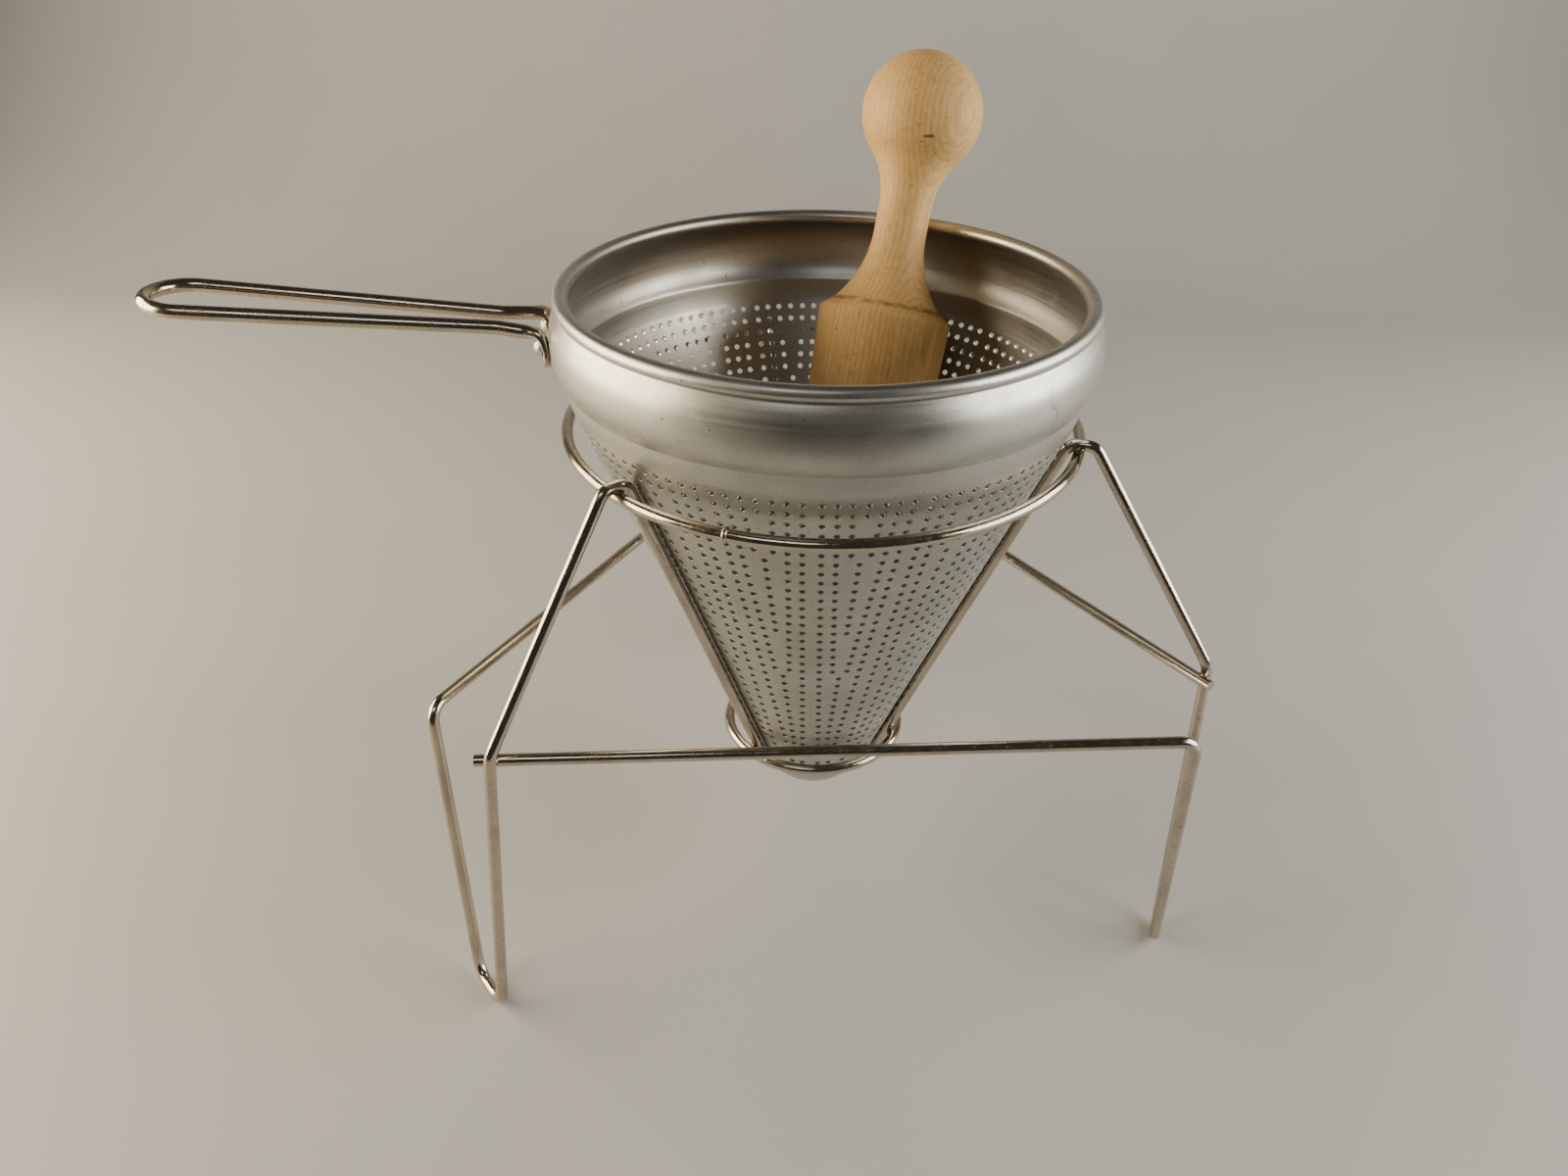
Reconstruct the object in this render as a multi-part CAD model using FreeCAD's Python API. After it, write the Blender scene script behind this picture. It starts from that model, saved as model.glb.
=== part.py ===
"""Cone-shaped hand ricer: a perforated aluminium strainer that stands in a
welded wire cradle, with a wire handle and a turned wooden pestle.

Millimetres, +Z up.  The origin is on the cone's axis at table level.  Angles
are measured round the cone's axis from +X towards +Y, in degrees.  The
strainer's wall is modelled plain, without its rows of small drain holes.
"""
import os
from math import acos, asin, atan2, cos, degrees, hypot, radians, sin, sqrt, tan

import FreeCAD, Part
from FreeCAD import Rotation, Vector

# ---------------------------------------------------------------- dimensions
# strainer, spun from one sheet
SHEET = 1.2                 # thickness of the sheet
CREASE_R = 82.3             # outside radius where the cone meets the band
CREASE_Z = 197.5            # height of that crease above the table
TIP_R = 22.0                # outside radius of the rounded tip
TIP_Z = 34.6                # height of the tip's lowest point above the table
BAND_H = 24.4               # height of the bulged band above the crease
BAND_BULGE = 3.0            # how far the band stands out beyond its edges
BEAD_D = 4.8                # diameter of the rolled rim bead

# stand, bent and spot-welded from round wire
WIRE_D = 3.8                # diameter of the stand's wire
WELD_SET = 0.25             # how far crossing wires sink together at a weld
CRADLE_GAP = 0.3            # gap between the cone and the wires it rests on
LEG_COUNT = 3
LEG_ANGLE = 225.0           # direction of the front-left leg
STUB_DROP = 8.0             # leg's inner end, below the lower ring
LOWER_RING_Z = 59.4
UPPER_RING_Z = 180.4
HOOK_BEND_R = 4.6           # centre-line radius of the hook's two bends
HOOK_WIDTH = 8.0            # straight width of the hook's crown before bending
LEG_SPLAY = 32.7            # slope of the leg's outer diagonal from vertical
SHOULDER_R = 133.2          # radius of the outer shoulder
SHOULDER_BEND_R = 9.0
FOOT_BEND_R = 7.4
# the legs are hand-bent, so their feet differ: front-left, right and back
FOOT_RS = (137.3, 135.6, 136.4)     # radius of the foot
FOOT_WIDTHS = (18.2, 13.0, 15.5)    # width of the foot loop on the table
FOOT_TURNS = (6.9, 4.3, 5.6)        # foot's middle, turned back from the leg's angle
STRUT_R = 136.9             # radius of the shoulder where the strut starts
STRUT_TURN = 15.8           # that shoulder, turned back from the leg's angle
STRUT_DROP = 3.6            # height of the struts below the shoulder
STRUT_BEND_R = 6.0
STRUT_OVERHANG = 5.0        # strut's end beyond the leg that it is welded to
FLASH_ANGLE = 252.0         # where the upper ring's ends are butt-welded
FLASH_D = 4.8               # diameter of the ring of weld flash
FLASH_W = 1.5               # its width along the wire

# handle, one loop of wire with flattened ends
HANDLE_ANGLE = 185.5        # direction of the handle
HANDLE_TILT = 4.6           # its rise towards the end
HANDLE_Z = 213.6            # height of the wire where it meets the band
HANDLE_WIRE_D = 4.4
HANDLE_LENGTH = 119.0       # from the band to the middle of the end's wire
HANDLE_END_HALF = 12.6      # half the loop's width near its end
HANDLE_WAIST_HALF = 6.5     # half its width at the waist near the band
HANDLE_WAIST_S = 15.0       # distance of the waist from the band
HANDLE_END_BEND_R = 12.0
WAIST_BEND_R = 9.0
TAB_HALF_SPACING = 9.4      # each tab's middle, to the side of the handle
TAB_W = 8.0
TAB_T = 2.4
TAB_TOP = 4.6               # tab's top above the rivet
TAB_BOTTOM = 6.6            # tab's bottom below the rivet
TAB_SET = 0.2               # how far the clenched tab beds into the band
TAB_BEND_R = 2.6            # centre-line radius of the wire's turn into the tab

# rivets
RIVET_Z = 209.8
RIVET_D = 3.2
RIVET_FIT = 0.05            # radial gap between a rivet and its hole
RIVET_HEAD_D = 6.4
RIVET_HEAD_H = 2.5
RIVET_TAIL_D = 5.6
RIVET_TAIL_H = 1.0
TAIL_SET = 0.25             # how far the tail beds into the band's inside

# pestle, turned from one piece of wood
PESTLE_ANGLE = 68.2         # direction in which the resting pestle leans
PESTLE_RISE = 5.35          # foot's height above the lowest place where it fits
PESTLE_GAP = 0.3            # gap between the pestle and the wall
BODY_R = 23.2               # largest radius of the body, at the shoulder
BODY_LENGTH = 170.0         # from the foot's end to the shoulder's edge
FOOT_END_R = 18.0           # radius of the rounded foot
EDGE_R = 2.5                # rounding of the shoulder's edge
CREASE_INSET = 4.0          # shoulder crease, in from the body's surface
CREASE_RISE = 1.6           # and above its edge
NECK_R = 9.1
FLARE_R = 36.0              # radius of the hollow flare from shoulder to neck
COVE_R = 26.0               # radius of the hollow below the knob
NECK_TOP = 206.0            # where that hollow starts, from the foot's end
KNOB_R = 21.2
KNOB_AT = 237.0             # knob's middle, from the foot's end

# ------------------------------------------------------------- derived sizes
TIP_CENTRE_Z = TIP_Z + TIP_R
CONE_RISE = CREASE_Z - TIP_CENTRE_Z
# the cone's side passes through the crease and is tangent to the rounded tip
HALF_ANGLE = acos(TIP_R / hypot(CREASE_R, CONE_RISE)) - atan2(CONE_RISE, CREASE_R)
SLOPE, COS_A, SIN_A = tan(HALF_ANGLE), cos(HALF_ANGLE), sin(HALF_ANGLE)
BAND_TOP_Z = CREASE_Z + BAND_H
BAND_MID_Z = CREASE_Z + BAND_H / 2
BAND_R = CREASE_R + BAND_BULGE
BAND_ARC_R = (BAND_H ** 2 / 4 + BAND_BULGE ** 2) / (2 * BAND_BULGE)
BEAD_R = CREASE_R - BEAD_D / 4
BEAD_Z = BAND_TOP_Z + BEAD_D / 2 - SHEET / 2
WELD_PITCH = WIRE_D - WELD_SET
LEAN_STEP = 0.0001          # how finely the pestle's resting lean is found


def at(radius, angle, z):
    """Point at a radius and an angle round the cone's axis."""
    return Vector(radius * cos(radians(angle)), radius * sin(radians(angle)), z)


def cone_outer_r(z):
    """Outside radius of the cone at height z."""
    return CREASE_R + SLOPE * (z - CREASE_Z)


def band_outer_r(z):
    """Outside radius of the bulged band at height z."""
    middle = BAND_R - BAND_ARC_R
    return middle + sqrt(BAND_ARC_R ** 2 - (z - BAND_MID_Z) ** 2)


def filleted_path(points, radii):
    """Wire of straight runs through the points, with an arc at each corner."""
    edges = []
    start = points[0]
    for before, corner, after, radius in zip(points, points[1:], points[2:], radii):
        back = (before - corner).normalize()
        ahead = (after - corner).normalize()
        half = acos(max(-1.0, min(1.0, back.dot(ahead)))) / 2
        reach = radius / tan(half)
        middle = (back + ahead).normalize()
        centre = corner + middle * (radius / sin(half))
        enter, leave = corner + back * reach, corner + ahead * reach
        edges.append(Part.LineSegment(start, enter).toShape())
        edges.append(Part.Arc(enter, centre - middle * radius, leave).toShape())
        start = leave
    edges.append(Part.LineSegment(start, points[-1]).toShape())
    return Part.Wire(edges)


def round_wire(points, radii, diameter):
    """Solid round wire along a filleted path."""
    path = filleted_path(points, radii)
    section = Part.Wire(Part.makeCircle(diameter / 2, points[0], points[1] - points[0]))
    return path.makePipeShell([section], True, False)


def revolved(edges):
    """Solid of revolution about the Z axis of a closed outline in the XZ plane."""
    face = Part.Face(Part.Wire(edges))
    return face.revolve(Vector(0, 0, 0), Vector(0, 0, 1), 360)


def line(a, b):
    return Part.LineSegment(Vector(a[0], 0, a[1]), Vector(b[0], 0, b[1])).toShape()


def arc(a, b, c):
    return Part.Arc(*(Vector(p[0], 0, p[1]) for p in (a, b, c))).toShape()


# ------------------------------------------------------------------ strainer
def shell_points(offset):
    """Profile points of the shell's outside, moved inward by offset."""
    radius = TIP_R - offset
    tangent = (radius * COS_A, TIP_CENTRE_Z - radius * SIN_A)
    halfway = (radians(90) + HALF_ANGLE) / 2
    tip_mid = (radius * cos(halfway), TIP_CENTRE_Z - radius * sin(halfway))
    crease_z = CREASE_Z + offset * SIN_A / 2
    crease = (cone_outer_r(crease_z) - offset / COS_A, crease_z)
    top = (CREASE_R - offset, BAND_TOP_Z)
    bulge = (BAND_R - offset, BAND_MID_Z)
    return (0, TIP_CENTRE_Z - radius), tip_mid, tangent, crease, bulge, top


def strainer_bowl():
    """Cone, bulged band and rolled rim bead, with the two rivet holes."""
    tip, tip_mid, tangent, crease, bulge, top = shell_points(0)
    in_tip, in_mid, in_tangent, in_crease, in_bulge, in_top = shell_points(SHEET)
    shell = revolved([
        arc(tip, tip_mid, tangent), line(tangent, crease), arc(crease, bulge, top),
        line(top, in_top), arc(in_top, in_bulge, in_crease),
        line(in_crease, in_tangent), arc(in_tangent, in_mid, in_tip), line(in_tip, tip)])
    bead = Part.makeTorus(BEAD_R, BEAD_D / 2, Vector(0, 0, BEAD_Z))
    bowl = shell.fuse(bead).removeSplitter()
    for side in (-1, 1):
        bowl = bowl.cut(rivet_hole(side))
    return bowl


# ------------------------------------------------------------ handle, rivets
def tab_angle(side):
    """Angle round the bowl of a tab and its rivet; side is -1 or 1."""
    return HANDLE_ANGLE + side * degrees(asin(TAB_HALF_SPACING / BAND_R))


def on_tab(side, depth, sideways=0.0, up=0.0):
    """Point near a rivet: depth is measured outward from the tab's outer face."""
    angle = tab_angle(side)
    radius = band_outer_r(RIVET_Z) - TAB_SET + TAB_T + depth
    across = Vector(-sin(radians(angle)), cos(radians(angle)), 0)
    return at(radius, angle, RIVET_Z + up) + across * sideways


def outward(side):
    return at(1, tab_angle(side), 0)


def rivet_hole(side):
    """Cutter for a rivet's hole through the tab and the band."""
    reach = TAB_T + SHEET + 2
    return Part.makeCylinder(RIVET_D / 2 + RIVET_FIT, 2 * reach,
                             on_tab(side, -reach), outward(side))


def tab(side):
    """Flattened end of the handle's wire, with a rounded lower end."""
    corner_z = -TAB_BOTTOM + TAB_W / 2
    half = TAB_W / 2
    corners = [on_tab(side, 0, -half, corner_z), on_tab(side, 0, -half, TAB_TOP),
               on_tab(side, 0, half, TAB_TOP), on_tab(side, 0, half, corner_z)]
    edges = [Part.LineSegment(a, b).toShape() for a, b in zip(corners, corners[1:])]
    edges.append(Part.Arc(corners[-1], on_tab(side, 0, 0, -TAB_BOTTOM), corners[0]).toShape())
    return Part.Face(Part.Wire(edges)).extrude(outward(side) * -TAB_T)


def handle_point(along, sideways):
    """Point in the handle's tilted plane, from where it meets the band."""
    level = BAND_R + along * cos(radians(HANDLE_TILT))
    across = at(1, HANDLE_ANGLE + 90, 0)
    rise = along * sin(radians(HANDLE_TILT))
    return at(level, HANDLE_ANGLE, HANDLE_Z + rise) + across * sideways


def handle():
    """Loop of wire whose ends turn down into the riveted tabs."""
    wire_depth = HANDLE_WIRE_D / 2 - TAB_T
    ends = {}
    for side in (-1, 1):
        low = on_tab(side, wire_depth, 0, 0.6)
        turn = on_tab(side, wire_depth, 0, HANDLE_Z - RIVET_Z)
        ends[side] = [low, turn, handle_point(HANDLE_WAIST_S, side * HANDLE_WAIST_HALF)]
    loop_end = [handle_point(HANDLE_LENGTH, side * HANDLE_END_HALF) for side in (-1, 1)]
    points = ends[-1] + loop_end + ends[1][::-1]
    radii = [TAB_BEND_R, WAIST_BEND_R, HANDLE_END_BEND_R,
             HANDLE_END_BEND_R, WAIST_BEND_R, TAB_BEND_R]
    body = round_wire(points, radii, HANDLE_WIRE_D)
    for side in (-1, 1):
        head_room = Part.makeCylinder(RIVET_HEAD_D / 2 + RIVET_FIT, HANDLE_WIRE_D,
                                      on_tab(side, 0), outward(side))
        wall_room = Part.makeCylinder(TAB_W, HANDLE_WIRE_D, on_tab(side, -TAB_T),
                                      outward(side) * -1)
        body = body.cut(head_room).cut(wall_room).fuse(tab(side)).cut(rivet_hole(side))
    return body.removeSplitter()


def cap(rim_r, base_z, height):
    """Arc from a spherical cap's rim to its top on the axis."""
    ball_r = (rim_r ** 2 + height ** 2) / (2 * abs(height))
    half = asin(rim_r / ball_r) / 2
    side = 1 if height > 0 else -1
    middle = (ball_r * sin(half), base_z + height - side * ball_r * (1 - cos(half)))
    return arc((rim_r, base_z), middle, (0, base_z + height))


def rivet(side):
    """Round-head rivet through a tab and the band, clenched inside the bowl."""
    grip = TAB_T - TAB_SET + SHEET - TAIL_SET
    head_r, shank_r, tail_r = RIVET_HEAD_D / 2, RIVET_D / 2, RIVET_TAIL_D / 2
    tail_z = -grip - RIVET_TAIL_H
    outline = [
        cap(head_r, 0, RIVET_HEAD_H), line((head_r, 0), (shank_r, 0)),
        line((shank_r, 0), (shank_r, -grip)), line((shank_r, -grip), (tail_r, -grip)),
        cap(tail_r, -grip, -RIVET_TAIL_H), line((0, tail_z), (0, RIVET_HEAD_H))]
    solid = revolved(Part.sortEdges(outline)[0])
    solid.Placement = FreeCAD.Placement(on_tab(side, 0), Rotation(Vector(0, 0, 1), outward(side)))
    return solid


# --------------------------------------------------------------------- stand
def cradle_r(z):
    """Radius of the leg wire's centre-line where the cone rests on it."""
    return cone_outer_r(z) + (WIRE_D / 2 + CRADLE_GAP) / COS_A


CROWN_Z = UPPER_RING_Z + WELD_PITCH
HOOK_CENTRE_Z = CROWN_Z - HOOK_BEND_R
UPPER_RING_R = cradle_r(HOOK_CENTRE_Z) + HOOK_BEND_R / COS_A
LOWER_RING_R = cradle_r(LOWER_RING_Z) + WELD_PITCH / COS_A


CROWN_IN = cradle_r(CROWN_Z)
CROWN_OUT = CROWN_IN + HOOK_WIDTH
SHOULDER_Z = CROWN_Z - (SHOULDER_R - CROWN_OUT) / tan(radians(LEG_SPLAY))
STRUT_Z = SHOULDER_Z - STRUT_DROP


def leg_angle(number):
    """Direction of a leg, round the cone's axis."""
    return LEG_ANGLE + number * 360.0 / LEG_COUNT


def shoulder(number):
    """Corner between a leg's diagonal and the wire down to its foot."""
    return at(SHOULDER_R, leg_angle(number), SHOULDER_Z)


def foot_corner(number, side):
    """Corner of a leg's foot; side is 1 below the shoulder, -1 below the strut."""
    half = degrees(asin(FOOT_WIDTHS[number] / 2 / FOOT_RS[number]))
    angle = leg_angle(number) - FOOT_TURNS[number] + side * half
    return at(FOOT_RS[number], angle, WIRE_D / 2)


def strut_end(start, number):
    """End of a strut that passes just inside a leg and is welded to it."""
    top, foot = shoulder(number), foot_corner(number, 1)
    crossing = top + (foot - top) * (STRUT_DROP / (top.z - foot.z))
    run = crossing - start
    distance = hypot(run.x, run.y)
    aim = atan2(run.y, run.x) - asin(WELD_PITCH / distance)
    length = sqrt(distance ** 2 - WELD_PITCH ** 2) + STRUT_OVERHANG
    return start + Vector(cos(aim), sin(aim), 0) * length


def leg(number):
    """One leg wire: cradle wire, hook, diagonal, foot loop and strut."""
    angle = leg_angle(number)
    stub_z = LOWER_RING_Z - STUB_DROP
    strut_start = at(STRUT_R, angle - STRUT_TURN, STRUT_Z)
    points = [at(cradle_r(stub_z), angle, stub_z), at(CROWN_IN, angle, CROWN_Z),
              at(CROWN_OUT, angle, CROWN_Z), shoulder(number), foot_corner(number, 1),
              foot_corner(number, -1), strut_start,
              strut_end(strut_start, (number - 1) % LEG_COUNT)]
    radii = [HOOK_BEND_R, HOOK_BEND_R, SHOULDER_BEND_R, FOOT_BEND_R, FOOT_BEND_R, STRUT_BEND_R]
    return round_wire(points, radii, WIRE_D)


def upper_ring():
    """Ring under the hooks, with the flash of its butt weld."""
    ring = Part.makeTorus(UPPER_RING_R, WIRE_D / 2, Vector(0, 0, UPPER_RING_Z))
    along = at(1, FLASH_ANGLE + 90, 0)
    middle = at(UPPER_RING_R, FLASH_ANGLE, UPPER_RING_Z)
    flash = Part.makeCylinder(FLASH_D / 2, FLASH_W, middle - along * (FLASH_W / 2), along)
    flash = flash.makeFillet(FLASH_W * 0.4, [e for e in flash.Edges if len(e.Vertexes) == 1])
    return ring.fuse(flash)


def lower_ring():
    """Ring round the cone's tip, outside the legs' inner ends."""
    return Part.makeTorus(LOWER_RING_R, WIRE_D / 2, Vector(0, 0, LOWER_RING_Z))


# -------------------------------------------------------------------- pestle
def pestle_outline():
    """Edges of the pestle's profile, standing on its foot's end at the origin."""
    edge_z = BODY_LENGTH
    foot_c = (0, FOOT_END_R)
    # the tapering side is tangent to the rounded foot
    side_top = (BODY_R, edge_z - EDGE_R)
    reach = hypot(side_top[0] - foot_c[0], side_top[1] - foot_c[1])
    bearing = atan2(side_top[1] - foot_c[1], side_top[0] - foot_c[0])
    touch = bearing - acos(FOOT_END_R / reach)
    side_low = (FOOT_END_R * cos(touch), foot_c[1] + FOOT_END_R * sin(touch))
    mid = (touch - radians(90)) / 2
    foot_mid = (FOOT_END_R * cos(mid), foot_c[1] + FOOT_END_R * sin(mid))
    edge_mid = (BODY_R - EDGE_R * (1 - sqrt(0.5)), edge_z - EDGE_R * (1 - sqrt(0.5)))
    edge_top = (BODY_R - EDGE_R, edge_z)
    crease = (BODY_R - CREASE_INSET, edge_z + CREASE_RISE)
    # hollow flare, tangent to the neck
    flare_c_r = NECK_R + FLARE_R
    flare_h = sqrt(FLARE_R ** 2 - (flare_c_r - crease[0]) ** 2)
    flare_end = (NECK_R, crease[1] + flare_h)
    flare_start_angle = asin(flare_h / FLARE_R) / 2
    flare_mid = (flare_c_r - FLARE_R * cos(flare_start_angle),
                 flare_end[1] - FLARE_R * sin(flare_start_angle))
    # hollow below the knob, from the neck to the knob's surface
    cove_c = (NECK_R + COVE_R, NECK_TOP)
    gap = hypot(cove_c[0], KNOB_AT - cove_c[1])
    along = (gap ** 2 + COVE_R ** 2 - KNOB_R ** 2) / (2 * gap)
    cove_bearing = atan2(KNOB_AT - cove_c[1], -cove_c[0]) + acos(along / COVE_R)
    meet = (cove_c[0] + COVE_R * cos(cove_bearing), cove_c[1] + COVE_R * sin(cove_bearing))
    half = (cove_bearing + radians(180)) / 2
    cove_mid = (cove_c[0] + COVE_R * cos(half), cove_c[1] + COVE_R * sin(half))
    knob_bearing = atan2(meet[1] - KNOB_AT, meet[0])
    knob_mid_angle = (knob_bearing + radians(90)) / 2
    knob_mid = (KNOB_R * cos(knob_mid_angle), KNOB_AT + KNOB_R * sin(knob_mid_angle))
    knob_top = (0, KNOB_AT + KNOB_R)
    neck_top = (NECK_R, NECK_TOP)
    return [arc((0, 0), foot_mid, side_low), line(side_low, side_top),
            arc(side_top, edge_mid, edge_top), line(edge_top, crease),
            arc(crease, flare_mid, flare_end), line(flare_end, neck_top),
            arc(neck_top, cove_mid, meet), arc(meet, knob_mid, knob_top),
            line(knob_top, (0, 0))]


def foot_centre():
    """Centre of the rounded foot, against the wall on the side it leans from."""
    room = TIP_R - SHEET - PESTLE_GAP - FOOT_END_R
    lowest = -room if room > 0 else -room / SIN_A
    above = lowest + PESTLE_RISE
    return -(room + above * SIN_A) / COS_A, TIP_CENTRE_Z + above


def leaning(outline, lean):
    """The outline leaning about its foot's centre, in the XZ plane."""
    x, z = foot_centre()
    moved = outline.copy()
    moved.translate(Vector(x, 0, z - FOOT_END_R))
    moved.rotate(Vector(x, 0, z), Vector(0, 1, 0), lean)
    return moved


def resting_lean(outline):
    """Lean at which the pestle comes to rest against the inside of the bowl."""
    _, _, tangent, crease, bulge, top = shell_points(SHEET)
    inside = Part.Wire([line(tangent, crease), arc(crease, bulge, top)])
    bead = Part.Wire(Part.makeCircle(BEAD_D / 2, Vector(BEAD_R, 0, BEAD_Z), Vector(0, 1, 0)))
    wall = Part.makeCompound([inside, bead])
    upright, over = 0.0, 90.0
    while over - upright > LEAN_STEP:
        lean = (upright + over) / 2
        if leaning(outline, lean).distToShape(wall)[0] > PESTLE_GAP:
            upright = lean
        else:
            over = lean
    return upright


def pestle():
    """Rounded foot, tapering body, hollow flare, neck and ball knob."""
    edges = pestle_outline()
    solid = leaning(revolved(edges), resting_lean(Part.Wire(edges[:-1])))
    return solid.rotate(Vector(0, 0, 0), Vector(0, 0, 1), PESTLE_ANGLE)


# --------------------------------------------------------------------- write
parts = {
    "strainer_bowl": strainer_bowl(),
    "handle": handle(),
    "rivet_near": rivet(1),
    "rivet_far": rivet(-1),
    "upper_ring": upper_ring(),
    "lower_ring": lower_ring(),
    "leg_front_left": leg(0),
    "leg_right": leg(1),
    "leg_back": leg(2),
    "pestle": pestle(),
}
os.makedirs("parts", exist_ok=True)
for name, solid in parts.items():
    assert solid.isValid() and len(solid.Solids) == 1, name
    solid.Solids[0].exportStep("parts/%s.step" % name)
    box = solid.BoundBox
    print("%-16s volume %9.1f  x %7.1f %7.1f  y %7.1f %7.1f  z %6.1f %6.1f" % (
        name, solid.Volume, box.XMin, box.XMax, box.YMin, box.YMax, box.ZMin, box.ZMax))
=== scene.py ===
"""Looks of a cone-shaped hand ricer: a perforated aluminium strainer in a
welded wire cradle, with a wire handle and a turned wooden pestle.

Sizes are in millimetres and are scaled to metres as each mesh is made.  The
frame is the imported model's: +Z up, with the cone's axis at X = Y = 0.
"""
from math import acos, asin, atan2, cos, degrees, hypot, pi, radians, sin, sqrt, tan

import bmesh
import bpy
from mathutils import Matrix, Vector, noise


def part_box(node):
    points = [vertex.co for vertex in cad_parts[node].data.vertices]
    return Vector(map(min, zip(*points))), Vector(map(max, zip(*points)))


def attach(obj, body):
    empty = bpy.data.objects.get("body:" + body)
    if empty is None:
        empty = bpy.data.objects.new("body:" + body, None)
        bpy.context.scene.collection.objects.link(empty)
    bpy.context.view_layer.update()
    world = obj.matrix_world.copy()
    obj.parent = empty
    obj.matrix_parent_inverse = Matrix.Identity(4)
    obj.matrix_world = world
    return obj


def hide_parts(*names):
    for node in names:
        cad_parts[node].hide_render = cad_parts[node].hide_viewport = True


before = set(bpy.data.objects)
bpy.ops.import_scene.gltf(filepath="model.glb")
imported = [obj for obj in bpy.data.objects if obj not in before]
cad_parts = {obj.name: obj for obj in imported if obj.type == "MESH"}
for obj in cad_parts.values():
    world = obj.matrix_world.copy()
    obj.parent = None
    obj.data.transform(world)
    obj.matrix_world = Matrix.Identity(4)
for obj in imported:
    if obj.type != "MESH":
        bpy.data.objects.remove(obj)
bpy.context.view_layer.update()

MM = 0.001

# ---------------------------------------------------------------- dimensions
# strainer
BOWL_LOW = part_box("strainer_bowl")[0] / MM
CREASE_R, CREASE_Z = 82.3, 197.5
TIP_R, TIP_Z = 22.0, BOWL_LOW.z
SHEET = 1.2
BAND_H, BAND_BULGE = 24.4, 3.0
CREASE_RISE = 2.9           # height of the formed crease over the plain model's
CREASE_IN = 1.5             # the wall's narrowing at its formed crease
NARROW_FROM_Z = 190.0       # the wall draws in above this height
CREASE_SOFT = 0.25          # half height of the crease's rounding
CREASE_OUT = 0.04           # how far the crease's own ring stands out
BAND_FULLNESS = 2.4         # how square the band's bulge is; 2 is a plain arc
BAND_TOP_OUT = 0.3          # the band's top edge, out from the plain crease's radius
BEAD_D = 4.8
BEAD_OVERLAP = 0.55         # how far the wall runs up past the bead's lowest point
BEAD_ARC = (-48, 262)       # where the bead leaves the wall and comes back, in degrees
TIP_ARC_END = -84           # the tip's last ring before its pole, in degrees
TIP_CENTRE_Z = TIP_Z + TIP_R
CONE_RISE = CREASE_Z - TIP_CENTRE_Z
HALF_ANGLE = acos(TIP_R / hypot(CREASE_R, CONE_RISE)) - atan2(CONE_RISE, CREASE_R)
SLOPE, COS_A, SIN_A = tan(HALF_ANGLE), cos(HALF_ANGLE), sin(HALF_ANGLE)
FORMED_CREASE_Z = CREASE_Z + CREASE_RISE
BAND_R = CREASE_R + BAND_BULGE
BEAD_R, BEAD_Z = CREASE_R - BEAD_D / 4, CREASE_Z + BAND_H + BEAD_D / 2 - SHEET / 2

# drain holes, punched in gores round the cone
HOLE_R = 0.95
HOLE_EDGE = 0.14            # rounding of a hole's edge
HOLE_POINTS = 12            # points round a hole, two to each side of its cell
TOP_ROW_Z = 190.9
ROW_PITCH = 4.082           # height from row to row
GORES = 16
GORE_START = -91.5          # azimuth of the first gore's centre-line
COLUMNS = (2.7, 6.9, 11.1)  # columns to each side of a gore's centre-line
JOIN_HALF = 0.35            # half height of the joint between unlike rows
# rows, columns to each side of a gore's centre-line, and a column between gores
ROW_PLAN = ((2, 3, True), (4, 3, False), (9, 2, True), (5, 2, False), (11, 1, True), (3, 1, False))

# stand
WIRE_D = 3.8
WELD_PITCH = 3.55
LEG_ANGLES = (225.0, 345.0, 105.0)
SHOULDER_R, STRUT_R, STRUT_TURN = 133.2, 136.9, 15.8
STRUT_Z = 108.5
CROSSING_TURN = 0.15        # the strut's weld, turned back from the leg's angle
WELD_UPPER = (1.75, 1.75, 1.0)      # half sizes of the weld beads
WELD_LOWER = (1.5, 1.5, 1.5)
WELD_STRUT = (1.5, 1.5, 1.6)
WELD_LUMPS = ((0.16, 1.9), (0.07, 5.3))     # height and fineness of their lumps

# handle
HANDLE_ANGLE, HANDLE_TILT, HANDLE_Z = 185.5, 4.6, 213.6
HANDLE_WIRE_D, HANDLE_LENGTH = 4.4, 119.0
HANDLE_END_HALF, HANDLE_WAIST_HALF, HANDLE_WAIST_S = 12.6, 6.5, 15.0
HANDLE_END_BEND_R, WAIST_BEND_R, TAB_BEND_R = 12.0, 9.0, 2.6
TAB_HALF_SPACING, TAB_W, TAB_T = 9.4, 8.0, 2.4
TAB_BOTTOM, TAB_SET, RIVET_Z = 6.6, 0.2, 209.8
TAB_TURN = degrees(asin(TAB_HALF_SPACING / BAND_R))     # each tab's azimuth off the handle's
KNEE_R, KNEE_UP = 0.8, -1.0     # bend where a tab leaves the band, and its height over the rivet
FLAT_LENGTH, FLAT_FADE = 6.5, 9.0   # the hammered end, and its run into round wire
FLAT_SQUARENESS = 1.6
TAB_TIP_HALF = 0.5          # half width left at a tab's very end
SHARP_FROM = 50.0           # edges are sharp from this angle

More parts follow.
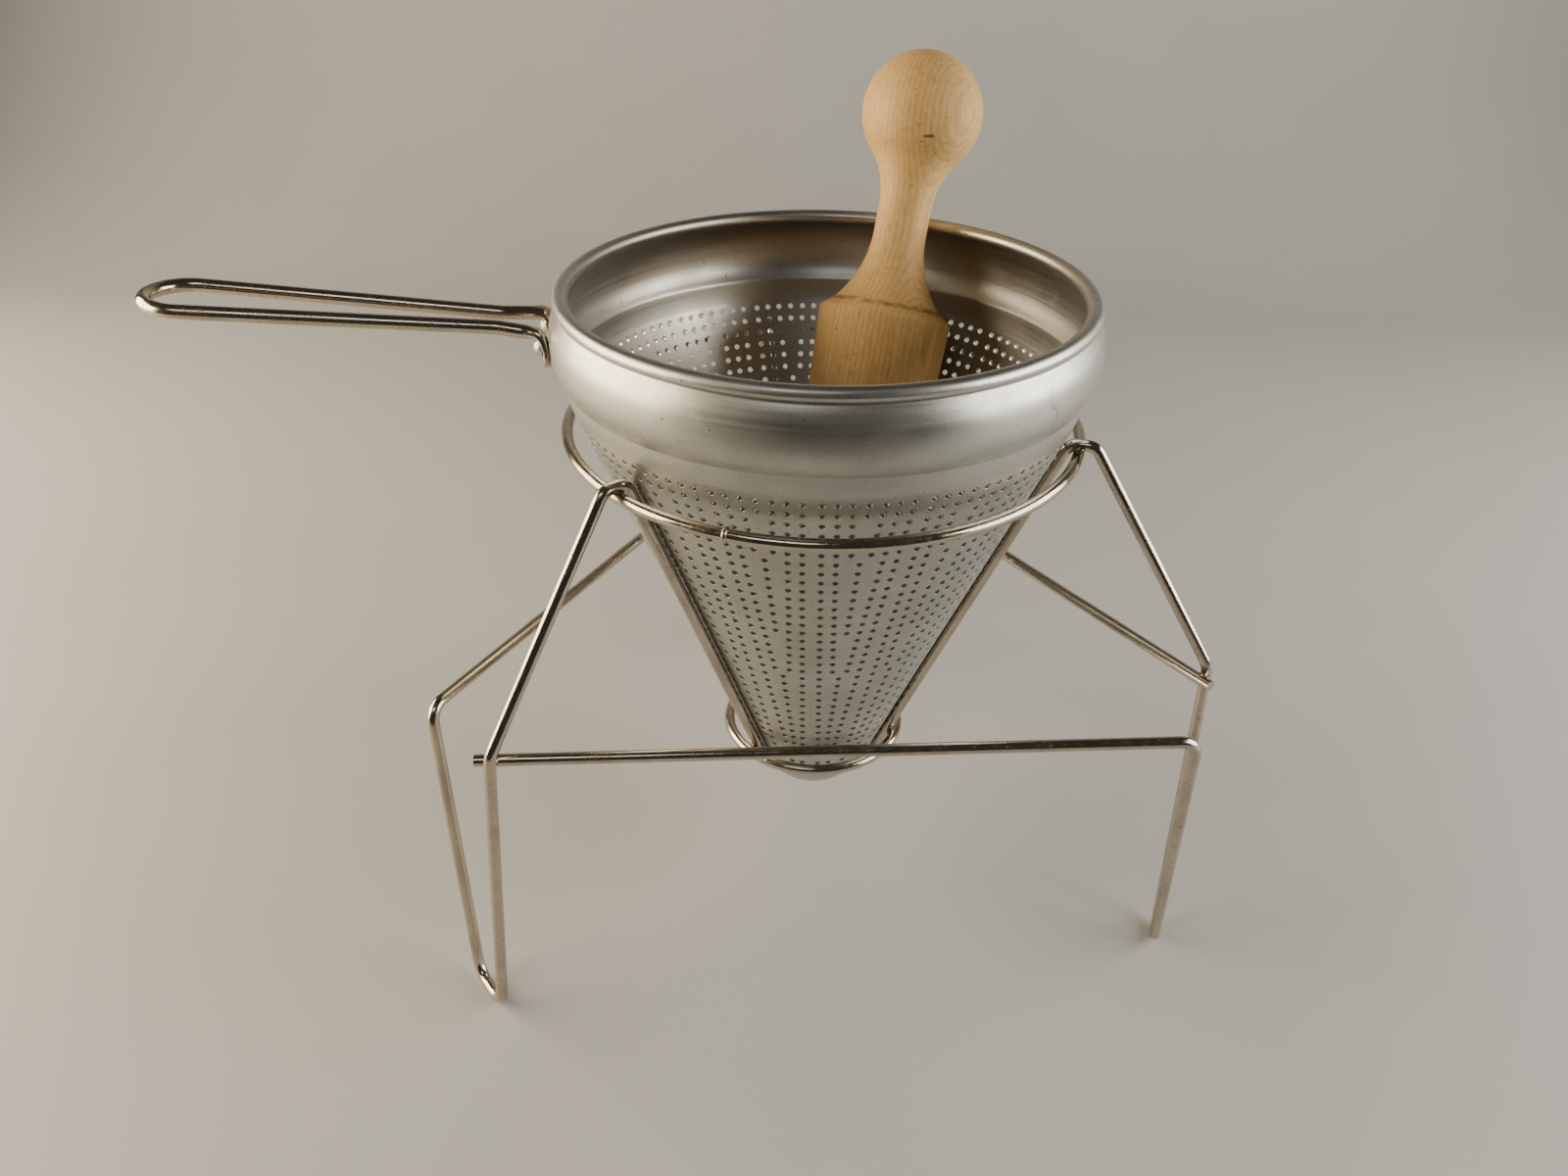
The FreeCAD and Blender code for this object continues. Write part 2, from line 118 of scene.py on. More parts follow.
# pestle
FOOT_END_R, BODY_R, BODY_LENGTH, EDGE_R = 18.0, 23.2, 170.0, 2.5
SHOULDER_INSET, SHOULDER_RISE = 4.0, 1.6
SHOULDER_AT = BODY_LENGTH + SHOULDER_RISE
NECK_R, FLARE_R, COVE_R, NECK_TOP = 9.1, 36.0, 27.6, 206.0
KNOB_R, KNOB_AT = 21.2, 237.0
KNOB_TURNED_R = 20.6        # the knob as turned, a little inside the plain model's
EDGE_SWEEP = 78             # how far the shoulder's edge turns in, in degrees
CREASE_FILLET = (0.35, -0.12)       # the shoulder crease's ring, out and up from its corner
FLARE_TRIM, COVE_TRIM, KNOB_TRIM = 1.2, 1.5, 2.0    # degrees left off where arcs meet
TURNING_DEPTH = 0.002       # unevenness left by the turning, as a share of the radius
TURNING_PITCH = 9.0         # and its length along the pestle

# marks of use
KNOB_MARK_AT = Vector((32.1, 56.5, 257.7))
KNOB_MARK_HALF = (2.8, 2.0, 0.8)
HAIRLINE_ANGLE, HAIRLINE_Z = -42.0, (203.0, 219.5)

# camera
CAMERA_AT = Vector((0, -0.37803, 0.35018))
CAMERA_LENS, CAMERA_SENSOR = 29.0, 36.0
CAMERA_YAW, CAMERA_PITCH, CAMERA_ROLL = radians(-1.7765), radians(31.821), radians(0.9028)


# -------------------------------------------------------------------- helpers
def polar(radius, angle, z):
    """Point at a radius and an azimuth in degrees."""
    return Vector((radius * cos(radians(angle)), radius * sin(radians(angle)), z))


def new_object(name, verts, faces, body):
    """Mesh object from millimetre points, riding on a body."""
    mesh = bpy.data.meshes.new(name)
    mesh.from_pydata([tuple(Vector(v) * MM) for v in verts], [], faces)
    mesh.validate()
    for polygon in mesh.polygons:
        polygon.use_smooth = True
    obj = bpy.data.objects.new(name, mesh)
    bpy.context.scene.collection.objects.link(obj)
    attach(obj, body)
    return obj


def arc_points(centre, radius, start, end, steps):
    """Points on an arc in the profile plane, angles in degrees."""
    found = []
    for i in range(steps + 1):
        a = radians(start + (end - start) * i / steps)
        found.append((centre[0] + radius * cos(a), centre[1] + radius * sin(a)))
    return found


def smooth_step(t):
    """0 to 1 with level ends."""
    t = max(0.0, min(1.0, t))
    return t * t * (3 - 2 * t)


# ------------------------------------------------------------- strainer bowl
def cone_r(z):
    """Outside radius of the cone at height z."""
    narrowing = max(0, z - NARROW_FROM_Z) / (FORMED_CREASE_Z - NARROW_FROM_Z)
    return CREASE_R + SLOPE * (z - CREASE_Z) - CREASE_IN * narrowing ** 2


def gore_angles(side_columns, middle, z):
    """Azimuths of the holes in the row at height z."""
    found = []
    step = 360.0 / GORES
    for gore in range(GORES):
        centre = GORE_START + gore * step
        offsets = [degrees(c / cone_r(z)) for c in COLUMNS[:side_columns]]
        found += [centre - o for o in reversed(offsets)] + [centre + o for o in offsets]
        if middle:
            found.append(centre + step / 2)
    return found


class Wall:
    """Vertices, their normals and the faces of the strainer's wall."""

    def __init__(self):
        self.verts, self.normals, self.faces = [], [], []

    def add(self, point, normal):
        self.verts.append(point)
        self.normals.append(normal)
        return len(self.verts) - 1

    def on_cone(self, angle, z, depth, inward=False):
        """Vertex on the cone's wall, depth below its outside."""
        normal = polar(COS_A, angle, -SIN_A)
        point = polar(cone_r(z), angle, z) - normal * depth
        return self.add(point, -normal if inward else normal)

    def ring(self, angles, radius, z, normal):
        """Ring of vertices at the azimuths, all with one profile normal."""
        return [self.add(polar(radius, a, z), polar(normal[0], a, normal[1])) for a in angles]

    def bridge(self, first, second):
        """Quads between two rings of the same count."""
        for j in range(len(first)):
            k = (j + 1) % len(first)
            self.faces.append((first[j], first[k], second[k], second[j]))

    def zip(self, low, high, low_angles, high_angles, flip):
        """Triangles between two rings of different counts."""
        i = j = 0
        n, m = len(high), len(low)

        def angle(angles, k):
            return angles[k % len(angles)] + 360.0 * (k // len(angles))

        while i < n or j < m:
            if j >= m or (i < n and angle(high_angles, i + 1) <= angle(low_angles, j + 1)):
                face = (low[j % m], high[(i + 1) % n], high[i % n])
                i += 1
            else:
                face = (low[j % m], low[(j + 1) % m], high[i % n])
                j += 1
            self.faces.append(face[::-1] if flip else face)

    def cap(self, ring, point, normal, flip):
        """Fan of triangles from a ring to a pole on the axis."""
        pole = self.add(point, normal)
        for j in range(len(ring)):
            face = (ring[j], pole, ring[(j + 1) % len(ring)])
            self.faces.append(face[::-1] if flip else face)


def cell_angles(holes):
    """Azimuths of the cell borders and holes of a row, in turn."""
    found = []
    for before, here in zip([holes[-1] - 360] + holes[:-1], holes):
        found += [(before + here) / 2, here]
    return found


def punched_hole(wall, angle, z, outer_border, inner_border):
    """One drain hole, and the sheet round it out to its cell's border."""
    cell_sides = HOLE_POINTS // 2

    def circle(radius, depth, normal_of):
        found = []
        for k in range(HOLE_POINTS):
            c, s = cos(k * pi / cell_sides), sin(k * pi / cell_sides)
            height = z + radius * s * COS_A
            turn = angle + degrees(radius * c / cone_r(height))
            index = wall.on_cone(turn, height, depth)
            if normal_of == "hole":
                across = polar(1, turn + 90, 0)
                upward = polar(SIN_A, turn, COS_A)
                wall.normals[index] = -(across * c + upward * s)
            elif normal_of == "inside":
                wall.normals[index] = -wall.normals[index]
            found.append(index)
        return found

    rings = [circle(HOLE_R + HOLE_EDGE, 0, "outside"), circle(HOLE_R, HOLE_EDGE, "hole"),
             circle(HOLE_R, SHEET - HOLE_EDGE, "hole"), circle(HOLE_R + HOLE_EDGE, SHEET, "inside")]
    for first, second in zip(rings, rings[1:]):
        wall.bridge(first, second)
    for b in range(cell_sides):
        last = (b + 1) % cell_sides
        arc = [rings[0][(2 * b - 1 + k) % HOLE_POINTS] for k in (2, 1, 0)]
        wall.faces.append((outer_border[b], outer_border[last], *arc))
        arc = [rings[3][(2 * b - 1 + k) % HOLE_POINTS] for k in (0, 1, 2)]
        wall.faces.append((inner_border[last], inner_border[b], *arc))


def perforated_cone(wall):
    """The cone's rows of holes; returns its top and bottom rings and azimuths."""
    plan = [(side, middle) for rows, side, middle in ROW_PLAN for _ in range(rows)]
    row_z = [TOP_ROW_Z - i * ROW_PITCH for i in range(len(plan))]
    rows = [cell_angles(gore_angles(side, middle, z)) for (side, middle), z in zip(plan, row_z)]

    def border(angles, z):
        return (angles, [wall.on_cone(a, z, 0) for a in angles],
                [wall.on_cone(a, z, SHEET, True) for a in angles])

    top = first = border(rows[0], row_z[0] + ROW_PITCH / 2)
    for i, angles in enumerate(rows):
        low_z = row_z[i] - ROW_PITCH / 2
        following = rows[i + 1] if i + 1 < len(rows) else angles
        if len(following) == len(angles):
            bottom = border([(a + b) / 2 for a, b in zip(angles, following)], low_z)
            upcoming = bottom
        else:
            bottom = border(angles, low_z + JOIN_HALF)
            upcoming = border(following, low_z - JOIN_HALF)
            wall.zip(upcoming[1], bottom[1], following, angles, False)
            wall.zip(upcoming[2], bottom[2], following, angles, True)
        count = len(angles)
        for j in range(0, count, 2):
            k = (j + 2) % count
            borders = [[bottom[s][k], top[s][k], top[s][j + 1], top[s][j], bottom[s][j],
                        bottom[s][j + 1]] for s in (1, 2)]
            punched_hole(wall, angles[j + 1], row_z[i], *borders)
        top = upcoming
    return first, top


def band_r(z):
    """Outside radius of the bulged band."""
    top_z = BEAD_Z - BEAD_D / 2
    middle = (FORMED_CREASE_Z + top_z) / 2
    end_r = cone_r(FORMED_CREASE_Z) if z < middle else CREASE_R + BAND_TOP_OUT
    t = abs(z - middle) / (top_z - middle)
    return BAND_R - (BAND_R - end_r) * t ** BAND_FULLNESS


def outer_profile(start_z):
    """Outside of the wall above the holes, from the cone to under the bead."""
    low, high = FORMED_CREASE_Z - CREASE_SOFT, FORMED_CREASE_Z + CREASE_SOFT
    points = [(cone_r(z), z) for z in (start_z + (low - start_z) * i / 6 for i in range(7))]
    points.append((cone_r(FORMED_CREASE_Z) + CREASE_OUT, FORMED_CREASE_Z))
    steps = 30
    top = BEAD_Z - BEAD_D / 2 + BEAD_OVERLAP
    points += [(band_r(z), z) for z in (high + (top - high) * i / steps for i in range(steps + 1))]
    return points


def profile_normals(points):
    """Outward profile normals of a path, by its neighbours' directions."""
    found = []
    for i in range(len(points)):
        a, b = points[max(i - 1, 0)], points[min(i + 1, len(points) - 1)]
        length = hypot(b[0] - a[0], b[1] - a[1])
        found.append(((b[1] - a[1]) / length, -(b[0] - a[0]) / length))
    return found


def strainer_bowl():
    """Perforated cone, bulged band, rolled bead and rounded tip, in one skin."""
    wall = Wall()
    top, bottom = perforated_cone(wall)
    start_z = TOP_ROW_Z + ROW_PITCH / 2
    outside = outer_profile(start_z)
    normals = profile_normals(outside)
    inside = [(r - n[0] * SHEET, z - n[1] * SHEET) for (r, z), n in zip(outside, normals)]
    bead = arc_points((BEAD_R, BEAD_Z), BEAD_D / 2, *BEAD_ARC, 28)
    path = outside + bead + inside[::-1]
    directions = profile_normals(path)
    rings = [top[1]]
    for (r, z), n in zip(path[1:-1], directions[1:-1]):
        rings.append(wall.ring(top[0], r, z, n))
    rings.append(top[2])
    for first, second in zip(rings, rings[1:]):
        wall.bridge(first, second)
    for depth, ring, flip in ((0, bottom[1], False), (SHEET, bottom[2], True)):
        radius = TIP_R - depth
        sign = -1 if flip else 1
        last = ring
        for r, z in arc_points((0, TIP_CENTRE_Z), radius, degrees(-HALF_ANGLE), TIP_ARC_END, 12):
            n = (sign * r / radius, sign * (z - TIP_CENTRE_Z) / radius)
            below = wall.ring(bottom[0], r, z, n)
            pair = (last, below) if flip else (below, last)
            wall.bridge(*pair)
            last = below
        wall.cap(last, Vector((0, 0, TIP_CENTRE_Z - radius)), Vector((0, 0, -sign)), not flip)
    obj = new_object("strainer_shell", wall.verts, wall.faces, "strainer")
    obj.data.normals_split_custom_set_from_vertices([tuple(n.normalized()) for n in wall.normals])
    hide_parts("strainer_bowl")
    return obj


# --------------------------------------------------------------------- handle
def tab_point(side, depth, up):
    """Point at a tab; depth is measured outward from the tab's outer face."""
    angle = HANDLE_ANGLE + side * TAB_TURN
    return polar(BAND_R - TAB_SET + TAB_T + depth, angle, RIVET_Z + up)


def handle_point(along, sideways):
    """Point in the handle's tilted plane."""
    level = BAND_R + along * cos(radians(HANDLE_TILT))
    rise = along * sin(radians(HANDLE_TILT))
    return polar(level, HANDLE_ANGLE, HANDLE_Z + rise) + polar(1, HANDLE_ANGLE + 90, 0) * sideways


def rounded_route(points, radii, run_step, bend_steps):
    """Points along straight runs joined by arcs."""
    found = []
    start = points[0]
    for before, corner, after, radius in zip(points, points[1:], points[2:], radii):
        back, ahead = (before - corner).normalized(), (after - corner).normalized()
        half = acos(max(-1.0, min(1.0, back.dot(ahead)))) / 2
        reach = radius / tan(half)
        centre = corner + (back + ahead).normalized() * (radius / sin(half))
        enter, leave = corner + back * reach, corner + ahead * reach
        count = max(1, round((enter - start).length / run_step))
        found += [start.lerp(enter, i / count) for i in range(count)]
        sweep = pi - 2 * half
        u = (enter - centre).normalized()
        v = (leave - centre - u * (leave - centre).dot(u)).normalized()
        found += [centre + (u * cos(sweep * i / bend_steps) + v * sin(sweep * i / bend_steps)) * radius
                  for i in range(bend_steps)]
        start = leave
    count = max(1, round((points[-1] - start).length / run_step))
    found += [start.lerp(points[-1], i / count) for i in range(count + 1)]
    return found


def handle():
    """Wire loop whose round ends are hammered flat into riveted tabs."""
    wire_depth = HANDLE_WIRE_D / 2 - TAB_T
    ends = {}
    for side in (-1, 1):
        turn = tab_point(side, wire_depth, HANDLE_Z - RIVET_Z)
        ends[side] = [tab_point(side, -TAB_T / 2, -TAB_BOTTOM), tab_point(side, -TAB_T / 2, KNEE_UP),
                      turn, handle_point(HANDLE_WAIST_S, side * HANDLE_WAIST_HALF)]
    loop_end = [handle_point(HANDLE_LENGTH, side * HANDLE_END_HALF) for side in (-1, 1)]
    points = ends[-1] + loop_end + ends[1][::-1]
    near_radii = [KNEE_R, TAB_BEND_R, WAIST_BEND_R, HANDLE_END_BEND_R]
    route = rounded_route(points, near_radii + near_radii[::-1], run_step=0.9, bend_steps=10)
    lengths = [0.0]
    for a, b in zip(route, route[1:]):
        lengths.append(lengths[-1] + (b - a).length)
    total = lengths[-1]
    segments = 24
    across = polar(1, HANDLE_ANGLE - TAB_TURN + 90, 0)
    verts, faces = [], []
    for i, point in enumerate(route):
        tangent = (route[min(i + 1, len(route) - 1)] - route[max(i - 1, 0)]).normalized()
        across = (across - tangent * across.dot(tangent)).normalized()
        out = tangent.cross(across)
        end = min(lengths[i], total - lengths[i])
        flat = 1 - smooth_step((end - FLAT_LENGTH) / FLAT_FADE)
        half_w = HANDLE_WIRE_D / 2 + (TAB_W - HANDLE_WIRE_D) / 2 * flat
        half_t = HANDLE_WIRE_D / 2 + (TAB_T - HANDLE_WIRE_D) / 2 * flat
        if end < TAB_W / 2:
            half_w = sqrt(max(TAB_TIP_HALF ** 2, half_w ** 2 - (half_w - end) ** 2))
        power = 2 / (2 + FLAT_SQUARENESS * flat)
        for k in range(segments):
            a = 2 * pi * k / segments
            c, s = cos(a), sin(a)
            w = half_w * abs(c) ** power * (1 if c >= 0 else -1)
            t = half_t * abs(s) ** power * (1 if s >= 0 else -1)
            verts.append(point + across * w + out * t)
        if i:
            base = (i - 1) * segments
            for k in range(segments):
                j = (k + 1) % segments
                faces.append((base + k, base + segments + k, base + segments + j, base + j))
    last = (len(route) - 1) * segments
    faces.append(tuple(range(segments)))
    faces.append(tuple(last + k for k in reversed(range(segments))))
    obj = new_object("handle_loop", verts, faces, "strainer")
    obj.data.set_sharp_from_angle(angle=radians(SHARP_FROM))
    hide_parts("handle")
    return obj


# --------------------------------------------------------------------- stand
def weld(name, point, size):
    """Small squashed bead of weld metal between two wires."""
    build = bmesh.new()
    bmesh.ops.create_icosphere(build, subdivisions=4, radius=1.0)
    for v in build.verts:
        lump = 1
        for height, fineness in WELD_LUMPS:
            lump += height * noise.noise(v.co * fineness + point)
        v.co = Vector((v.co.x * size[0], v.co.y * size[1], v.co.z * size[2])) * lump + point
    verts = [v.co.copy() for v in build.verts]
    faces = [tuple(v.index for v in f.verts) for f in build.faces]
    build.free()
    return new_object(name, verts, faces, "stand")


def strut_crossing(number):
    """Where the next leg's strut is welded to a leg, just below its shoulder."""
    here, following = LEG_ANGLES[number], LEG_ANGLES[(number + 1) % 3]
    leg = polar(SHOULDER_R, here - CROSSING_TURN, STRUT_Z)
    start = polar(STRUT_R, following - STRUT_TURN, STRUT_Z)
    run = (leg - start).normalized()
    inward = Vector((-run.y, run.x, 0))
    inward *= -1 if inward.dot(leg) > 0 else 1
    return leg + inward * (WELD_PITCH / 2)


def welds():
    """Weld beads where the wires cross."""
    upper_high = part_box("upper_ring")[1] / MM
    lower_low, lower_high = (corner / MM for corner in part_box("lower_ring"))
    upper_r, lower_r = upper_high.x - WIRE_D / 2, lower_high.x - WIRE_D / 2
    lower_z = (lower_low.z + lower_high.z) / 2
    crown_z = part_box("leg_right")[1].z / MM - WIRE_D / 2
    made = []
    for number, name in enumerate(("front_left", "right", "back")):
        angle = LEG_ANGLES[number]
        crown = polar(upper_r, angle, crown_z - WELD_PITCH / 2)
        made.append(weld("weld_upper_" + name, crown, WELD_UPPER))
        stub = polar(lower_r - WELD_PITCH / 2 / COS_A, angle, lower_z)
        made.append(weld("weld_lower_" + name, stub, WELD_LOWER))
        made.append(weld("weld_strut_" + name, strut_crossing(number), WELD_STRUT))
    return made


# -------------------------------------------------------------------- pestle
def pestle_profile():
    """Radius and distance from the foot's end, from foot to knob."""
    side_top = (BODY_R, BODY_LENGTH - EDGE_R)
    rise = side_top[1] - FOOT_END_R
    touch = degrees(atan2(rise, side_top[0]) - acos(FOOT_END_R / hypot(side_top[0], rise)))
    points = arc_points((0, FOOT_END_R), FOOT_END_R, -90, touch, 22)
    points += [tuple(Vector(points[-1]).lerp(Vector(side_top), i / 30)) for i in range(1, 30)]
    points += arc_points((BODY_R - EDGE_R, side_top[1]), EDGE_R, 0, EDGE_SWEEP, 8)
    crease = (BODY_R - SHOULDER_INSET, SHOULDER_AT)
    flare_c = NECK_R + FLARE_R
    flare_h = sqrt(FLARE_R ** 2 - (flare_c - crease[0]) ** 2)
    start = 180 + degrees(asin(flare_h / FLARE_R))
    points.append((crease[0] + CREASE_FILLET[0], crease[1] + CREASE_FILLET[1]))
    points += arc_points((flare_c, crease[1] + flare_h), FLARE_R, start - FLARE_TRIM, 180, 22)
    points.append((NECK_R, (crease[1] + flare_h + NECK_TOP) / 2))
    cove_c = (NECK_R + COVE_R, NECK_TOP)
    gap = hypot(cove_c[0], KNOB_AT - cove_c[1])
    along = (gap ** 2 + COVE_R ** 2 - KNOB_TURNED_R ** 2) / (2 * gap)
    bearing = atan2(KNOB_AT - cove_c[1], -cove_c[0]) + acos(along / COVE_R)
    points += arc_points(cove_c, COVE_R, 180, degrees(bearing) + COVE_TRIM, 10)
    meet = (cove_c[0] + COVE_R * cos(bearing), cove_c[1] + COVE_R * sin(bearing))
    knob_start = degrees(atan2(meet[1] - KNOB_AT, meet[0]))
    points += arc_points((0, KNOB_AT), KNOB_TURNED_R, knob_start + KNOB_TRIM, 90, 40)
    return points


def pestle():
    """Turned pestle, built along its own axis and laid where the model rests."""
    low, high = (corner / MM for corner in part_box("pestle"))
    foot = low + Vector((FOOT_END_R,) * 3)
    knob = high - Vector((KNOB_R,) * 3)
    axis = (knob - foot).normalized()
    segments = 96
    rows = pestle_profile()
    verts, faces = [Vector((0, 0, 0))], []
    for r, s in rows[1:-1]:
        for k in range(segments):
            a = 2 * pi * k / segments
            uneven = abs(noise.noise(Vector((cos(a), sin(a), s / TURNING_PITCH))))
            turned = r * (1 - TURNING_DEPTH * uneven)
            verts.append(Vector((turned * cos(a), turned * sin(a), s)))
    verts.append(Vector((0, 0, rows[-1][1])))
    count = len(rows) - 2
    top = 1 + (count - 1) * segments
    for k in range(segments):
        j = (k + 1) % segments
        faces.append((0, 1 + j, 1 + k))
        faces.append((top + k, top + j, len(verts) - 1))
        for i in range(count - 1):
            a, b = 1 + i * segments, 1 + (i + 1) * segments
            faces.append((a + k, a + j, b + j, b + k))
    turn = axis.to_track_quat("Z", "Y")
    base = foot - axis * FOOT_END_R
    verts = [base + turn @ v for v in verts]
    obj = new_object("pestle_turning", verts, faces, "pestle")
    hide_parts("pestle")
    return obj, base, turn


# ----------------------------------------------------------------- materials
class Shader:
    """A Principled material and the nodes that feed it."""

    def __init__(self, name, color, metallic, roughness):
        self.material = bpy.data.materials.new(name)
        self.material.use_nodes = True
        self.tree = self.material.node_tree
        self.bsdf = self.tree.nodes["Principled BSDF"]
        self.bsdf.inputs["Base Color"].default_value = (*color, 1)
        self.bsdf.inputs["Metallic"].default_value = metallic
        self.bsdf.inputs["Roughness"].default_value = roughness
        self.place = self.tree.nodes.new("ShaderNodeTexCoord").outputs["Object"]

    def lie_along(self, base, turn):
        """Lays the texture out from a turned piece's own end and axis."""
        made = self.node("ShaderNodeMapping")
        made.inputs["Rotation"].default_value = turn.inverted().to_euler()
        made.inputs["Location"].default_value = turn.inverted() @ (base * -MM)
        self.link(self.place, made.inputs["Vector"])
        self.place = made.outputs["Vector"]

    def link(self, source, target):
        self.tree.links.new(source, target)

    def node(self, kind, **settings):
        made = self.tree.nodes.new(kind)
        for key, value in settings.items():
            setattr(made, key, value)
        return made

    def mapped(self, scale, location=(0, 0, 0), rotation=(0, 0, 0)):
        """Object coordinates, scaled per millimetre."""
        made = self.node("ShaderNodeMapping")
        made.inputs["Scale"].default_value = [s / MM for s in scale]
        made.inputs["Location"].default_value = location
        made.inputs["Rotation"].default_value = rotation
        self.link(self.place, made.inputs["Vector"])
        return made.outputs["Vector"]

    def noise(self, scale, detail=3.0, rough=0.55, distortion=0.0, location=(0, 0, 0)):
        """Noise in object space; scale is in waves per millimetre."""
        made = self.node("ShaderNodeTexNoise")
        made.inputs["Scale"].default_value = 1.0
        made.inputs["Detail"].default_value = detail
        made.inputs["Roughness"].default_value = rough
        made.inputs["Distortion"].default_value = distortion
        size = scale if isinstance(scale, tuple) else (scale,) * 3
        self.link(self.mapped(size, location), made.inputs["Vector"])
        return made.outputs["Fac"]

    def ramp(self, source, low, high, out_low=0.0, out_high=1.0):
        """Smooth map of a value's range."""
        made = self.node("ShaderNodeMapRange", interpolation_type="SMOOTHSTEP")
        for key, value in zip(("From Min", "From Max", "To Min", "To Max"),
                              (low, high, out_low, out_high)):
            made.inputs[key].default_value = value
        self.link(source, made.inputs["Value"])
        return made.outputs["Result"]

    def math(self, operation, a, b):
        made = self.node("ShaderNodeMath", operation=operation)
        for socket, value in zip(made.inputs, (a, b)):
            if isinstance(value, (int, float)):
                socket.default_value = value
            else:
                self.link(value, socket)
        return made.outputs[0]

    def mix(self, factor, a, b):
        """Mix of two colours, each a colour or a socket."""
        made = self.node("ShaderNodeMix", data_type="RGBA")
        self.link(factor, made.inputs["Factor"])
        for socket, value in ((made.inputs[6], a), (made.inputs[7], b)):
            if isinstance(value, tuple):
                socket.default_value = (*value, 1)
            else:
                self.link(value, socket)
        return made.outputs[2]

    def bump(self, height, strength, distance, after=None):
        made = self.node("ShaderNodeBump")
        made.inputs["Strength"].default_value = strength
        made.inputs["Distance"].default_value = distance * MM
        self.link(height, made.inputs["Height"])
        if after is not None:
            self.link(after, made.inputs["Normal"])
        self.link(made.outputs["Normal"], self.bsdf.inputs["Normal"])
        return made.outputs["Normal"]

    def set(self, name, source):
        self.link(source, self.bsdf.inputs[name])


def aluminium():
    """Satin spun sheet: fine grain, turned lines, scuffs, stains and tiny pits."""
    m = Shader("spun_aluminium", (0.54, 0.53, 0.50), 1.0, 0.40)
    cloudy = m.noise(0.035, 4)
    turned = m.noise((0.012, 0.012, 2.2), 3, 0.6)
    coarse_turned = m.noise((0.008, 0.008, 0.32), 2)
    grain = m.noise(1.7, 2)
    stain = m.ramp(m.noise(0.06, 5, 0.65, 0.6), 0.56, 0.74)
    pits = m.ramp(m.noise(0.8, 1, 0.4, location=(3.1, 1.7, 0.4)), 0.765, 0.79)
    scuffed = m.ramp(m.noise(0.07, 2, location=(8.0, 3.0, 2.0)), 0.52, 0.60)
    specks = m.math("MULTIPLY", m.ramp(m.noise(1.5, 2, location=(1.0, 6.0, 3.0)), 0.66, 0.72), scuffed)
    contour = m.math("ABSOLUTE", m.math("SUBTRACT", m.noise(0.022, 2, 0.5, 0.8), 0.5), 0)
    hairline = m.math("MULTIPLY", m.ramp(contour, 0.0003, 0.0012, 1.0, 0.0), scuffed)
    base = m.mix(m.ramp(cloudy, 0.3, 0.7), (0.50, 0.495, 0.46), (0.41, 0.405, 0.37))
    base = m.mix(m.ramp(grain, 0.35, 0.7, 0.0, 0.35), base, (0.30, 0.29, 0.26))
    base = m.mix(m.math("MULTIPLY", stain, 0.30), base, (0.36, 0.32, 0.26))
    base = m.mix(m.math("MULTIPLY", hairline, 0.5), base, (0.28, 0.25, 0.21))
    apart = m.node("ShaderNodeSeparateXYZ")
    m.link(m.place, apart.inputs["Vector"])
    azimuth = m.math("ARCTAN2", apart.outputs["Y"], apart.outputs["X"])
    wander = m.ramp(m.noise(0.09, 2), 0.2, 0.8, -0.03, 0.03)
    aside = m.math("SUBTRACT", m.math("ADD", azimuth, wander), radians(HAIRLINE_ANGLE))
    line = m.ramp(m.math("ABSOLUTE", aside, 0), 0.001, 0.004, 0.7, 0.0)
    low_z, high_z = (z * MM for z in HAIRLINE_Z)
    line = m.math("MULTIPLY", line, m.ramp(apart.outputs["Z"], low_z, low_z + 3 * MM))
    line = m.math("MULTIPLY", line, m.ramp(apart.outputs["Z"], high_z - MM, high_z, 1.0, 0.0))
    base = m.mix(line, base, (0.20, 0.18, 0.15))
    base = m.mix(m.math("MAXIMUM", pits, m.math("MULTIPLY", specks, 0.6)), base, (0.13, 0.10, 0.07))
    m.set("Base Color", base)
    rough = m.math("ADD", m.ramp(turned, 0.3, 0.7, 0.35, 0.42), m.ramp(cloudy, 0.3, 0.7, -0.04, 0.05))
    rough = m.math("ADD", rough, m.math("MULTIPLY", stain, 0.08))
    m.set("Roughness", rough)
    first = m.bump(turned, 0.15, 0.05)
    second = m.bump(coarse_turned, 0.22, 0.25, first)
    m.bump(grain, 0.25, 0.04, second)
    return m.material


def plated_wire(name, color, tarnish_from):
    """Bright nickel plate, speckled and dulled, with a few rust spots."""
    m = Shader(name, color, 1.0, 0.2)
    dull = m.ramp(m.noise(0.055, 4, 0.6), 0.42, 0.66)
    speckle = m.ramp(m.noise(0.9, 3, 0.7), tarnish_from, tarnish_from + 0.12)
    rust = m.ramp(m.noise(0.13, 4, 0.75, 0.4, (5.2, 2.4, 7.7)), 0.70, 0.76)
    darker = tuple(c * 0.55 for c in color)
    base = m.mix(m.math("MULTIPLY", dull, 0.45), color, darker)
    base = m.mix(m.math("MULTIPLY", speckle, 0.55), base, (0.16, 0.13, 0.10))
    base = m.mix(m.math("MULTIPLY", rust, 0.8), base, (0.20, 0.09, 0.035))
    m.set("Base Color", base)
    metal = m.ramp(rust, 0.2, 0.9, 1.0, 0.25)
    m.set("Metallic", metal)
    rough = m.math("ADD", m.ramp(m.noise(0.3, 4), 0.3, 0.7, 0.10, 0.18),
                   m.math("MULTIPLY", speckle, 0.2))
    rough = m.math("ADD", rough, m.math("MULTIPLY", dull, 0.10))
    m.set("Roughness", rough)
    drawn = m.bump(m.noise(0.16, 3), 0.3, 0.12)
    m.bump(m.noise(1.4, 3, 0.7), 0.25, 0.03, drawn)
    return m.material


